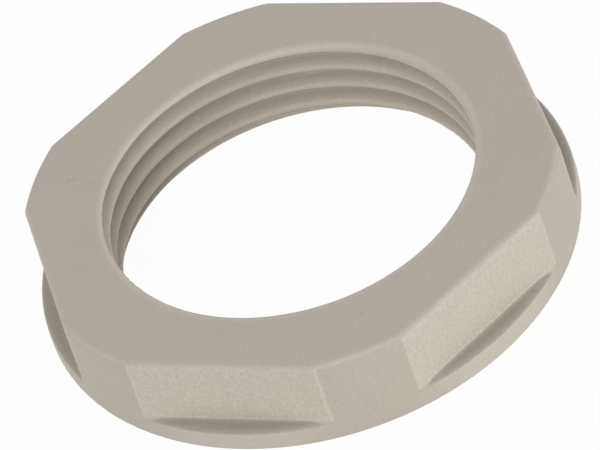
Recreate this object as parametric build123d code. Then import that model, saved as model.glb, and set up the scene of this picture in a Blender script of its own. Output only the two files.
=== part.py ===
from build123d import *
from math import radians, tan
import os

# Moulded plastic locknut that clamps a cable gland to the wall of a box.
# One piece: a round flange that bears on the wall, a hexagon above it whose corners
# end at the flange's own diameter, and an internal thread.
# The origin is the centre of the flange's bearing face and +Z is the bore axis,
# towards the hexagon's free face. All sizes are in millimetres.

# Thread, metric 25 x 1.5 internal, right-hand
thread_diameter = 25.0
thread_pitch = 1.5
thread_end_land = 0.75
thread_end_angle = 205.0

# Hexagon and flange: the spanner size is 32, the flange 34.2 across
wall_over_thread = 3.5
flange_overhang = 1.1
nut_height = 6.0
flange_thickness = 1.5
wall_draft = 1.0
flat_draft = 0.4

# Edges left by the mould
top_edge_round = 0.45
flange_edge_round = 0.40
seat_edge_chamfer = 0.20
rim_chamfer = 0.35
seat_lead_in = 0.80

# Clearances
cutter_overlap = 0.4

flat_count = 6
flank_half_angle = 30.0
across_flats = thread_diameter + 2 * wall_over_thread
flange_radius = across_flats / 2 + flange_overhang

# A sixty degree thread form: crest flat a quarter of the pitch, root flat an eighth
crest_flat = thread_pitch / 4
root_flat = thread_pitch / 8
thread_depth = (thread_pitch - crest_flat - root_flat) / (2 * tan(radians(flank_half_angle)))
crest_radius = thread_diameter / 2 - thread_depth


def wall_radius(z):
    """Radius of the drafted round wall at a height."""
    return flange_radius - z * tan(radians(wall_draft))


def drafted_disc(bottom, top):
    """Round disc between two heights, with the drafted wall."""
    with BuildSketch(Plane.XZ) as section:
        with BuildLine():
            Polyline((0, bottom), (wall_radius(bottom), bottom), (wall_radius(top), top), (0, top), close=True)
        make_face()
    return revolve(section.sketch, Axis.Z)


def flange():
    """The round flange, broken at its bearing edge and rounded where the flats step down to it."""
    disc = drafted_disc(0, flange_thickness)
    rims = disc.edges().filter_by(GeomType.CIRCLE).sort_by(Axis.Z)
    disc = chamfer(rims[0], seat_edge_chamfer)
    rims = disc.edges().filter_by(GeomType.CIRCLE).sort_by(Axis.Z)
    return fillet(rims[-1], flange_edge_round)


def hexagon():
    """The part above the flange: round at its corners, cut to six drafted spanner flats."""
    outline = RegularPolygon(across_flats / 2, flat_count, major_radius=False, rotation=30)
    prism = extrude(outline, nut_height, taper=flat_draft)
    body = drafted_disc(flange_thickness / 2, nut_height) & prism
    return fillet(body.faces().sort_by(Axis.Z)[-1].edges(), top_edge_round)


def bore_cutter():
    """Everything inside the thread crests, with the broken rim and the bearing face's lead-in."""
    rim_radius = crest_radius + rim_chamfer
    lead_radius = crest_radius + seat_lead_in + cutter_overlap
    above = nut_height + cutter_overlap
    with BuildSketch(Plane.XZ) as section:
        with BuildLine():
            Line((0, -cutter_overlap), (lead_radius, -cutter_overlap))
            Line((lead_radius, -cutter_overlap), (crest_radius, seat_lead_in))
            Line((crest_radius, seat_lead_in), (crest_radius, nut_height - rim_chamfer))
            Line((crest_radius, nut_height - rim_chamfer), (rim_radius, nut_height))
            Line((rim_radius, nut_height), (rim_radius, above))
            Line((rim_radius, above), (0, above))
            Line((0, above), (0, -cutter_overlap))
        make_face()
    return revolve(section.sketch, Axis.Z)


def thread_cutter():
    """One helical groove, from below the bearing face to its end under the rim."""
    groove_rise = nut_height - thread_end_land + thread_pitch
    turned = 360 * groove_rise / thread_pitch
    path = Helix(thread_pitch, groove_rise, crest_radius)
    mouth = root_flat + 2 * (thread_depth + cutter_overlap) * tan(radians(flank_half_angle))
    with BuildSketch(Plane(origin=path @ 0, x_dir=(1, 0, 0), z_dir=path % 0)) as form:
        with BuildLine():
            Polyline(
                (thread_depth, root_flat / 2),
                (thread_depth, -root_flat / 2),
                (-cutter_overlap, -mouth / 2),
                (-cutter_overlap, mouth / 2),
                close=True,
            )
        make_face()
    groove = sweep(form.sketch, path=path, is_frenet=True)
    return Pos(0, 0, -thread_pitch) * Rot(0, 0, thread_end_angle - turned) * groove


def locknut():
    nut = hexagon() + flange()
    nut -= bore_cutter()
    nut -= thread_cutter()
    return nut


if __name__ == "__main__":
    os.makedirs("parts", exist_ok=True)
    export_step(locknut(), "parts/locknut.step")
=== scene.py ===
import bmesh
import bpy
from math import acos, atan2, cos, degrees, hypot, pi, radians, tan
from mathutils import Matrix, Vector


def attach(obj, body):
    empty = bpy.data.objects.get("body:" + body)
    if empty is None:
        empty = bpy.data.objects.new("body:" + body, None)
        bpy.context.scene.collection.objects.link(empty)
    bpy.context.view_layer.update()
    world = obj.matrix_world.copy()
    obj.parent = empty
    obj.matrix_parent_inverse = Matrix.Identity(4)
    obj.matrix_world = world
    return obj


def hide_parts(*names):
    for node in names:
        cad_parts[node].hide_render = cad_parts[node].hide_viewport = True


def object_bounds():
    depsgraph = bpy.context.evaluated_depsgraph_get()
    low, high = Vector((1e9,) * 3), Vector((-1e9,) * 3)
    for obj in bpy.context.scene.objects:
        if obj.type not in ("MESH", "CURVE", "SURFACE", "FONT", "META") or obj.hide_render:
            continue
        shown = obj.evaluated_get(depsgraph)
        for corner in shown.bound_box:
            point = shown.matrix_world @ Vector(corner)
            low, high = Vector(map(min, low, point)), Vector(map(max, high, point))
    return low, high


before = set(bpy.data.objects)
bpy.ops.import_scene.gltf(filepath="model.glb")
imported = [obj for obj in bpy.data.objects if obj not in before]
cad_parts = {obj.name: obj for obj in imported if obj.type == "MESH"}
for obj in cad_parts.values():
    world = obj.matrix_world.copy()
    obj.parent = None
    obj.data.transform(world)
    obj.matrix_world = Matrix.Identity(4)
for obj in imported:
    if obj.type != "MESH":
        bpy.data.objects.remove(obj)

cadBox = [list(corner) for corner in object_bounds()]
seatLevel = cadBox[0][2]
mm = 0.001
white = (1, 1, 1, 1)


# shapes are drawn in millimetres and brought to metres when the piece is finished
def deselectAll():
    if bpy.context.object and bpy.context.object.mode != "OBJECT":
        bpy.ops.object.mode_set(mode="OBJECT")
    bpy.ops.object.select_all(action="DESELECT")


def pick(obj):
    deselectAll()
    obj.select_set(True)
    bpy.context.view_layer.objects.active = obj


def settle(obj):
    pick(obj)
    bpy.ops.object.transform_apply(location=True, rotation=True, scale=True)


def applyModifier(obj, kind, **values):
    modifier = obj.modifiers.new(kind.lower(), kind)
    for key, value in values.items():
        setattr(modifier, key, value)
    pick(obj)
    bpy.ops.object.modifier_apply(modifier=modifier.name)


def combine(obj, tool, operation):
    applyModifier(obj, "BOOLEAN", operation=operation, solver="EXACT", object=tool)
    bpy.data.objects.remove(tool)


def taperedDisc(name, low, high, lowRadius, highRadius, sides):
    deselectAll()
    bpy.ops.mesh.primitive_cone_add(vertices=sides, radius1=lowRadius, radius2=highRadius,
                                    depth=high - low, location=(0, 0, (low + high) / 2))
    disc = bpy.context.object
    disc.name = name
    settle(disc)
    return disc


def bevelWhere(obj, wanted, width, steps):
    pick(obj)
    bpy.ops.object.mode_set(mode="EDIT")
    bpy.ops.mesh.select_mode(type="EDGE")
    bpy.ops.mesh.select_all(action="DESELECT")
    mesh = bmesh.from_edit_mesh(obj.data)
    for edge in mesh.edges:
        edge.select_set(wanted(edge))
    bmesh.update_edit_mesh(obj.data)
    bpy.ops.mesh.bevel(offset=width, segments=steps, affect="EDGES")
    bpy.ops.object.mode_set(mode="OBJECT")


# a test for the loop of edges round a flat end, between two radii
def loopAt(height, least, most):
    levelError = 0.001
    endNormal = 0.9             # a face that looks up or down more than this is the flat end

    def wanted(edge):
        level = all(abs(v.co.z - height) < levelError for v in edge.verts)
        near = all(least < hypot(v.co.x, v.co.y) < most for v in edge.verts)
        return level and near and any(abs(f.normal.z) < endNormal for f in edge.link_faces)
    return wanted


# the nut: hexagon on a round flange, bored and threaded, sizes in millimetres
nutForm = {
    "threadDiameter": 25.0,
    "pitch": 1.5,
    "flankHalfAngle": 30.0,
    "crestShare": 0.25,         # flats of the standard thread form, as shares of the pitch
    "rootShare": 0.125,
    "rootFlat": 0.30,           # cut wider than the standard's, to thin the crests
    "threadEndLand": 0.40,      # last groove's centre under the free face
    "threadEndAngle": 290.0,
    "threadFade": 65.0,         # degrees over which the last groove grows shallow
    "grooveClear": 0.2,         # how far the groove's section reaches into the open bore
    "flats": 6,
    "acrossFlats": 32.0,
    "flangeDiameter": 34.2,
    "height": 6.0,
    "flangeThickness": 1.5,
    "wallDraft": 1.0,
    "flatDraft": 0.4,
    "topEdge": 0.36,
    "flangeEdge": 0.40,
    "seatEdge": 0.15,
    "rimEdge": 0.32,
    "leadIn": 0.8,
    "edgeSteps": 6,
    "seatSteps": 3,
    "leadInSteps": 1,
    "outerLoop": (15, 20),      # radii between which the outer edges lie
    "boreLoop": 0.1,            # and how near the bore's edges lie to its radius
    "overrun": 1,               # how far a cutting tool runs past the nut
    "sides": 144,
    "skin": 0.11,               # spacing of the finished skin's mesh
    "softenFactor": 0.5,
    "softenPasses": 2,
    "triangles": 190000,
}


def wallAt(z):
    return nutForm["flangeDiameter"] / 2 - z * tan(radians(nutForm["wallDraft"]))


def flatAt(z):
    return nutForm["acrossFlats"] / 2 - z * tan(radians(nutForm["flatDraft"]))


def hexagonHead(form):
    low = form["flangeThickness"] / 2
    high = form["height"]
    head = taperedDisc("locknutBody", low, high, wallAt(low), wallAt(high), form["sides"])
    under = low - form["overrun"]
    over = high + form["overrun"]
    corner = 1 / cos(pi / form["flats"])
    prism = taperedDisc("prism", under, over, flatAt(under) * corner, flatAt(over) * corner, form["flats"])
    combine(head, prism, "INTERSECT")
    bevelWhere(head, loopAt(high, *form["outerLoop"]), form["topEdge"], form["edgeSteps"])
    return head


def roundFlange(form):
    top = form["flangeThickness"]
    flange = taperedDisc("flange", 0, top, wallAt(0), wallAt(top), form["sides"])
    bevelWhere(flange, loopAt(top, *form["outerLoop"]), form["flangeEdge"], form["edgeSteps"])
    bevelWhere(flange, loopAt(0, *form["outerLoop"]), form["seatEdge"], form["seatSteps"])
    return flange


def threadDepth(form):
    sloped = 1 - form["crestShare"] - form["rootShare"]
    return form["pitch"] * sloped / (2 * tan(radians(form["flankHalfAngle"])))


def boreHole(nut, form):
    crest = form["threadDiameter"] / 2 - threadDepth(form)
    over = form["height"] + form["overrun"]
    bore = taperedDisc("bore", -form["overrun"], over, crest, crest, form["sides"])
    combine(nut, bore, "DIFFERENCE")
    least = crest - form["boreLoop"]
    most = crest + form["boreLoop"]
    bevelWhere(nut, loopAt(form["height"], least, most), form["rimEdge"], form["edgeSteps"])
    bevelWhere(nut, loopAt(0, least, most), form["leadIn"], form["leadInSteps"])


# the groove's section, set upright at the crest: wide at the bore, narrow at the root
def grooveSection(form):
    clear = form["grooveClear"]
    reach = threadDepth(form) + clear
    root = form["rootFlat"]
    mouth = root + 2 * reach * tan(radians(form["flankHalfAngle"]))
    crest = form["threadDiameter"] / 2 - threadDepth(form)
    middle = crest + (threadDepth(form) - clear) / 2
    deselectAll()
    bpy.ops.mesh.primitive_plane_add(size=1, rotation=(pi / 2, 0, 0))
    section = bpy.context.object
    settle(section)
    bpy.ops.object.mode_set(mode="EDIT")
    bpy.ops.mesh.select_all(action="SELECT")
    bpy.ops.transform.resize(value=(reach, 1, mouth))
    bpy.ops.transform.translate(value=(middle, 0, 0))
    bpy.ops.mesh.select_all(action="DESELECT")
    mesh = bmesh.from_edit_mesh(section.data)
    for vert in mesh.verts:
        vert.select_set(vert.co.x > middle)
    mesh.select_flush(True)
    bmesh.update_edit_mesh(section.data)
    bpy.ops.transform.resize(value=(1, 1, root / mouth))
    bpy.ops.mesh.select_all(action="SELECT")
    bpy.ops.mesh.delete(type="ONLY_FACE")
    bpy.ops.object.mode_set(mode="OBJECT")
    return section


# one helical groove: its section is screwed up through the nut and its last part drawn in
def threadGroove(form):
    rise = form["height"] - form["threadEndLand"] + form["pitch"]
    turns = rise / form["pitch"]
    steps = round(form["sides"] * turns)
    sectionSides = 4
    groove = grooveSection(form)
    groove.location.z = -form["pitch"]
    groove.rotation_euler.z = radians(form["threadEndAngle"]) - 2 * pi * turns
    settle(groove)
    applyModifier(groove, "SCREW", axis="Z", angle=2 * pi * turns, screw_offset=rise,
                  steps=steps, render_steps=steps, use_smooth_shade=False)
    bpy.ops.object.mode_set(mode="EDIT")
    bpy.ops.mesh.select_all(action="SELECT")
    bpy.ops.mesh.fill_holes(sides=sectionSides)
    bpy.ops.mesh.select_all(action="SELECT")
    bpy.ops.mesh.normals_make_consistent(inside=False)
    bpy.ops.object.mode_set(mode="OBJECT")
    lastTurn = form["height"] - form["pitch"]
    for vert in groove.data.vertices:
        left = form["threadEndAngle"] - degrees(atan2(vert.co.y, vert.co.x)) % 360
        if vert.co.z > lastTurn and 0 <= left < form["threadFade"]:
            reach = hypot(vert.co.x, vert.co.y)
            vert.co.xy *= 1 - threadDepth(form) * (1 - left / form["threadFade"]) / reach
    return groove


# the mould leaves no sharp edge: a fine even skin is drawn over the shape and eased a little
def mouldedSkin(nut, form):
    applyModifier(nut, "REMESH", mode="VOXEL", voxel_size=form["skin"])
    applyModifier(nut, "SMOOTH", factor=form["softenFactor"], iterations=form["softenPasses"])
    share = form["triangles"] / (2 * len(nut.data.polygons))
    if share < 1:
        applyModifier(nut, "DECIMATE", ratio=share)


def buildNut(form):
    nut = hexagonHead(form)
    combine(nut, roundFlange(form), "UNION")
    boreHole(nut, form)
    combine(nut, threadGroove(form), "DIFFERENCE")
    print("nut cut:", len(nut.data.polygons), "faces")
    mouldedSkin(nut, form)
    nut.scale = (mm, mm, mm)
    settle(nut)
    bpy.ops.object.shade_smooth()
    print("nut skinned:", len(nut.data.polygons), "faces")
    return nut


# polyamide: light grey with a warm cast, satin, finely grained; the colour is a guess
# lifts and shades are shares of it: painted light and painted shade, set against tones in the photo that
# the lamps alone don't give
# lengths are millimetres, noise scales are per metre
plasticLook = {
    "colour": (0.580, 0.528, 0.455),
    "mottle": 0.03,
    "mottleScale": 260.0,
    "mottleDetail": 5.0,
    "speckle": 0.11,
    "flatSpeckle": 0.24,        # the same grain, drawn stronger on the spanner flats
    "speckleScale": 5000.0,
    "speckleDetail": 3.0,
    # painted light: the spanner flats drawn lighter
    "paintedFlatLight": 0.04,
    "paintedSeamHighlight": 0.09,           # painted highlight: fine light line where a flat begins
    # painted highlight round the bore's rim
    "paintedRimHighlight": 0.10,
    "rimReach": 12.3,
    # painted shade on the hexagon's corner walls
    "paintedCornerShade": 0.11,
    # painted shade on the ledges under the flats
    "paintedLedgeShade": 0.32,
    "paintedCrestLight": 0.07,          # thread: painted light on the crests, painted shade in the roots
    "paintedRootShade": 0.15,
    "roughness": 0.50,
    "flatRoughness": 0.58,
    "grainDepth": 0.25,
    "grainHeight": 0.05,
    "marks": [
        {"place": (-12.35, -7.60, 6.0), "size": 0.38, "shade": 0.10},
        {"place": (-12.15, -7.25, 6.0), "size": 0.38, "shade": 0.10},
        {"place": (-10.95, -6.95, 6.0), "size": 0.34, "shade": 0.09},
        {"place": (12.45, -5.95, 6.0), "size": 0.20, "shade": 0.20},
        {"place": (7.95, -13.85, 3.8), "size": 0.22, "shade": 0.14},
    ],
}

# where each zone's mask starts and is full, from the line named beside it
zoneEdges = {
    "outside": (-0.8, -0.4),    # radius, from half the width across flats
    "above": (-0.1, 0.1),       # height, from the flange's top
    "bandLow": (-0.4, -0.2),
    "bandHigh": (0.3, 0.1),
    "rimReach": (0.0, -0.3),    # radius, from the rim's reach
    "rimHeight": (-0.5, -0.25),     # height, from the free face
    "threadHigh": (-0.3, -0.5),
    "threadLow": (0.0, 0.1),    # height, from the lead-in
    "crest": (0.25, 0.05),      # radius, from the thread's crest
    "rootNear": (0.1, -0.1),    # radius, from the crest and from the root
    "rootFar": (0.6, 0.3),      # radius, from the root
    "upright": (0.7, 0.4),      # how far a face looks up or down
    "level": (0.35, 0.7),
    "flatSide": (-0.05, 0.03),  # cosine round the hexagon, from a seam's
    "cornerSide": (0.03, -0.05),
    "seam": (0.05, 0.0),
    "cornerSoft": (0.8, -1.0),
}


def addNode(tree, kind, **values):
    node = tree.nodes.new(kind)
    for key, value in values.items():
        setattr(node, key, value)
    return node


def feed(tree, socket, value):
    if isinstance(value, bpy.types.NodeSocket):
        tree.links.new(value, socket)
    else:
        socket.default_value = value


def maths(tree, operation, *values):
    node = addNode(tree, "ShaderNodeMath", operation=operation)
    for socket, value in zip(node.inputs, values):
        feed(tree, socket, value)
    return node.outputs[0]


# eases from 0 at one value to 1 at the other, in either direction
def ease(tree, value, zero, one):
    node = addNode(tree, "ShaderNodeMapRange", interpolation_type="SMOOTHSTEP")
    for name, amount in (("Value", value), ("From Min", zero), ("From Max", one)):
        feed(tree, node.inputs[name], amount)
    return node.outputs["Result"]


def zoneEase(tree, value, zone, start=0.0, end=None, unit=1.0):
    first, last = zoneEdges[zone]
    if end is None:
        end = start
    return ease(tree, value, (start + first) * unit, (end + last) * unit)


def product(tree, first, *others):
    for other in others:
        first = maths(tree, "MULTIPLY", first, other)
    return first


def noise(tree, coords, scale, detail):
    node = addNode(tree, "ShaderNodeTexNoise")
    node.inputs["Scale"].default_value = scale
    node.inputs["Detail"].default_value = detail
    tree.links.new(coords, node.inputs["Vector"])
    return node.outputs["Fac"]


# brings a value between 0 and 1 to between -1 and 1
def swing(tree, value):
    return maths(tree, "MULTIPLY_ADD", value, 2.0, -1.0)


# where on the nut a point lies: masks for its flats, corners, seams, rim, ledges and thread
def nutZones(tree, coords, form, look):
    place = addNode(tree, "ShaderNodeSeparateXYZ")
    tree.links.new(coords.outputs["Object"], place.inputs[0])
    facing = addNode(tree, "ShaderNodeSeparateXYZ")
    tree.links.new(coords.outputs["Normal"], facing.inputs[0])
    x, y, z = place.outputs
    up = facing.outputs["Z"]
    steep = maths(tree, "ABSOLUTE", up)
    reach = maths(tree, "SQRT", maths(tree, "ADD", product(tree, x, x), product(tree, y, y)))
    around = maths(tree, "ARCTAN2", y, x)
    turn = maths(tree, "COSINE", maths(tree, "MULTIPLY", around, form["flats"]))
    seam = cos(form["flats"] * acos(form["acrossFlats"] / form["flangeDiameter"]))
    fromSeam = maths(tree, "ABSOLUTE", maths(tree, "SUBTRACT", turn, seam))
    ledge = form["flangeThickness"]
    top = form["height"]
    root = form["threadDiameter"] / 2
    crest = root - threadDepth(form)

    outside = zoneEase(tree, reach, "outside", form["acrossFlats"] / 2, unit=mm)
    upright = zoneEase(tree, steep, "upright")
    level = zoneEase(tree, up, "level")
    above = zoneEase(tree, z, "above", ledge, unit=mm)
    wall = product(tree, outside, upright, above)
    sharp = zoneEase(tree, turn, "cornerSide", seam)
    soft = zoneEase(tree, turn, "cornerSoft")
    corner = maths(tree, "MULTIPLY_ADD", above, maths(tree, "SUBTRACT", sharp, soft), soft)
    band = product(tree, zoneEase(tree, z, "bandLow", ledge, unit=mm),
                   zoneEase(tree, z, "bandHigh", ledge, unit=mm))
    threaded = product(tree, zoneEase(tree, z, "threadLow", form["leadIn"], unit=mm),
                       zoneEase(tree, z, "threadHigh", top, unit=mm))
    return {
        "flat": product(tree, wall, zoneEase(tree, turn, "flatSide", seam)),
        "seam": product(tree, wall, zoneEase(tree, fromSeam, "seam")),
        "rim": product(tree, zoneEase(tree, reach, "rimReach", look["rimReach"], unit=mm),
                       zoneEase(tree, z, "rimHeight", top, unit=mm)),
        "corner": product(tree, outside, upright, corner),
        "ledge": product(tree, outside, level, band),
        "crest": product(tree, threaded, zoneEase(tree, reach, "crest", crest, unit=mm)),
        "root": product(tree, threaded, zoneEase(tree, reach, "rootNear", crest, root, mm),
                        zoneEase(tree, reach, "rootFar", root, unit=mm)),
    }


def markMask(tree, coords, mark):
    away = addNode(tree, "ShaderNodeVectorMath", operation="DISTANCE")
    tree.links.new(coords.outputs["Object"], away.inputs[0])
    away.inputs[1].default_value = [length * mm for length in mark["place"]]
    return ease(tree, away.outputs["Value"], mark["size"] * mm, 0.0)


# the plain value, moved to the one for the spanner flats where the mask is full
def onFlats(tree, zones, plain, flat):
    return maths(tree, "MULTIPLY_ADD", zones["flat"], flat - plain, plain)


def plasticMaterial(look, form):
    mat = bpy.data.materials.new("polyamide")
    mat.use_nodes = True
    tree = mat.node_tree
    shader = tree.nodes["Principled BSDF"]
    coords = addNode(tree, "ShaderNodeTexCoord")
    zones = nutZones(tree, coords, form, look)
    cloud = noise(tree, coords.outputs["Object"], look["mottleScale"], look["mottleDetail"])
    grain = noise(tree, coords.outputs["Object"], look["speckleScale"], look["speckleDetail"])

    # masks and how much each one lightens or darkens the colour
    shares = [
        (swing(tree, cloud), look["mottle"]),
        (swing(tree, grain), onFlats(tree, zones, look["speckle"], look["flatSpeckle"])),
        # painted light on flats, seams, rim and crests; painted shade on corners, ledges and roots
        (zones["flat"], look["paintedFlatLight"]),
        (zones["seam"], look["paintedSeamHighlight"]),
        (zones["rim"], look["paintedRimHighlight"]),
        (zones["corner"], -look["paintedCornerShade"]),
        (zones["ledge"], -look["paintedLedgeShade"]),
        (zones["crest"], look["paintedCrestLight"]),
        (zones["root"], -look["paintedRootShade"]),
    ]
    shares += [(markMask(tree, coords, mark), -mark["shade"]) for mark in look["marks"]]
    tone = 1.0
    for mask, share in shares:
        tone = maths(tree, "ADD", maths(tree, "MULTIPLY", mask, share), tone)
    tint = addNode(tree, "ShaderNodeVectorMath", operation="SCALE")
    tint.inputs[0].default_value = look["colour"]
    tree.links.new(tone, tint.inputs["Scale"])
    tree.links.new(tint.outputs["Vector"], shader.inputs["Base Color"])
    rough = onFlats(tree, zones, look["roughness"], look["flatRoughness"])
    tree.links.new(rough, shader.inputs["Roughness"])

    bump = addNode(tree, "ShaderNodeBump")
    bump.inputs["Strength"].default_value = look["grainDepth"]
    bump.inputs["Distance"].default_value = look["grainHeight"] * mm
    tree.links.new(grain, bump.inputs["Height"])
    tree.links.new(bump.outputs["Normal"], shader.inputs["Normal"])
    return mat


nut = buildNut(nutForm)
nut.data.materials.clear()
nut.data.materials.append(plasticMaterial(plasticLook, nutForm))
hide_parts("locknut")
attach(nut, "root")
print("nut dressed")

# white floor: reads white to the eye and in reflections, and still takes the shadow
# it lies a hair under the seat, so that the two faces don't fight
floorLook = {
    "size": 1.2,
    "gap": 0.02 * mm,
    "colour": (0.90, 0.90, 0.90, 1),
    "glow": 1.0,
    "lift": 0.97,
}


def floorMaterial(look):
    mat = bpy.data.materials.new("paleFloor")
    mat.use_nodes = True
    tree = mat.node_tree
    link = tree.links.new
    tree.nodes.remove(tree.nodes["Principled BSDF"])
    matte = addNode(tree, "ShaderNodeBsdfDiffuse")
    matte.inputs["Color"].default_value = look["colour"]
    glow = addNode(tree, "ShaderNodeEmission")
    glow.inputs["Strength"].default_value = look["glow"]
    rays = addNode(tree, "ShaderNodeLightPath")
    either = maths(tree, "MAXIMUM", rays.outputs["Is Camera Ray"], rays.outputs["Is Glossy Ray"])
    mixed = addNode(tree, "ShaderNodeMixShader")
    link(maths(tree, "MULTIPLY", either, look["lift"]), mixed.inputs[0])
    link(matte.outputs[0], mixed.inputs[1])
    link(glow.outputs[0], mixed.inputs[2])
    link(mixed.outputs[0], tree.nodes["Material Output"].inputs["Surface"])
    return mat


deselectAll()
bpy.ops.mesh.primitive_plane_add(size=floorLook["size"], location=(0, 0, seatLevel - floorLook["gap"]))
floor = bpy.context.object
floor.name = "floor"
floor.data.materials.append(floorMaterial(floorLook))
print("floor laid")

# white surroundings with a low strip and a front box; levels set against tones in the photo
# degrees, metres and watts
lightLook = {
    "world": 0.57,
    "seenWorld": 1.0,
    "strip": {
        "azimuth": 30,
        "elevation": 4,
        "distance": 0.45,
        "width": 0.24,
        "height": 0.05,
        "power": 0.55,
    },
    "front": {
        "azimuth": -60,
        "elevation": 35,
        "distance": 0.45,
        "width": 0.18,
        "height": 0.18,
        "power": 0.48,
    },
}


def fromCentre(azimuth, elevation, distance):
    aim = Matrix.Rotation(radians(azimuth), 3, "Z") @ Matrix.Rotation(radians(-elevation), 3, "Y")
    return aim @ Vector((distance, 0, 0))


def softBox(name, look):
    place = fromCentre(look["azimuth"], look["elevation"], look["distance"])
    lamp = bpy.data.lights.new(name, "AREA")
    lamp.shape = "RECTANGLE"
    lamp.size = look["width"]
    lamp.size_y = look["height"]
    lamp.energy = look["power"]
    box = bpy.data.objects.new(name, lamp)
    box.location = place
    box.rotation_euler = place.to_track_quat("Z", "Y").to_euler()
    bpy.context.collection.objects.link(box)


def whiteWorld(look):
    world = bpy.data.worlds.new("studio")
    bpy.context.scene.world = world
    world.use_nodes = True
    tree = world.node_tree
    back = tree.nodes["Background"]
    back.inputs["Color"].default_value = white
    rays = addNode(tree, "ShaderNodeLightPath")
    either = maths(tree, "MAXIMUM", rays.outputs["Is Camera Ray"], rays.outputs["Is Transmission Ray"])
    level = addNode(tree, "ShaderNodeMapRange")
    level.inputs["To Min"].default_value = look["world"]
    level.inputs["To Max"].default_value = look["seenWorld"]
    tree.links.new(either, level.inputs["Value"])
    tree.links.new(level.outputs["Result"], back.inputs["Strength"])


whiteWorld(lightLook)
softBox("stripLight", lightLook["strip"])
softBox("frontLight", lightLook["front"])
print("lights set")

# camera: fitted to the nut's outline in the photo, seen from above and to the right, rolled
# the origin falls a little off the picture's middle
cameraLook = {
    "azimuth": -31.65,
    "elevation": 41.74,
    "roll": 19.28,
    "distance": 0.30882,
    "offRight": 0.74 * mm,
    "offUp": -1.33 * mm,
    "pictureWidth": 600,
    "pixelsPerMm": 16.135,
    "sensorWidth": 36.0,
    "clipStart": 0.01,
}


def setCamera(look):
    back = fromCentre(look["azimuth"], look["elevation"], 1)
    level = fromCentre(look["azimuth"] + 90, 0, 1)
    right = Matrix.Rotation(radians(-look["roll"]), 3, back) @ level
    up = back.cross(right)
    data = bpy.data.cameras.new("camera")
    data.sensor_width = look["sensorWidth"]
    data.lens = data.sensor_width * look["pixelsPerMm"] * look["distance"] / mm / look["pictureWidth"]
    data.clip_start = look["clipStart"]
    camera = bpy.data.objects.new("camera", data)
    place = back * look["distance"] - right * look["offRight"] - up * look["offUp"]
    turn = Matrix((right, up, back)).transposed().to_4x4()
    camera.matrix_world = Matrix.Translation(place) @ turn
    bpy.context.collection.objects.link(camera)
    bpy.context.scene.camera = camera


setCamera(cameraLook)
bpy.context.scene.view_settings.view_transform = "Standard"
print("camera set")
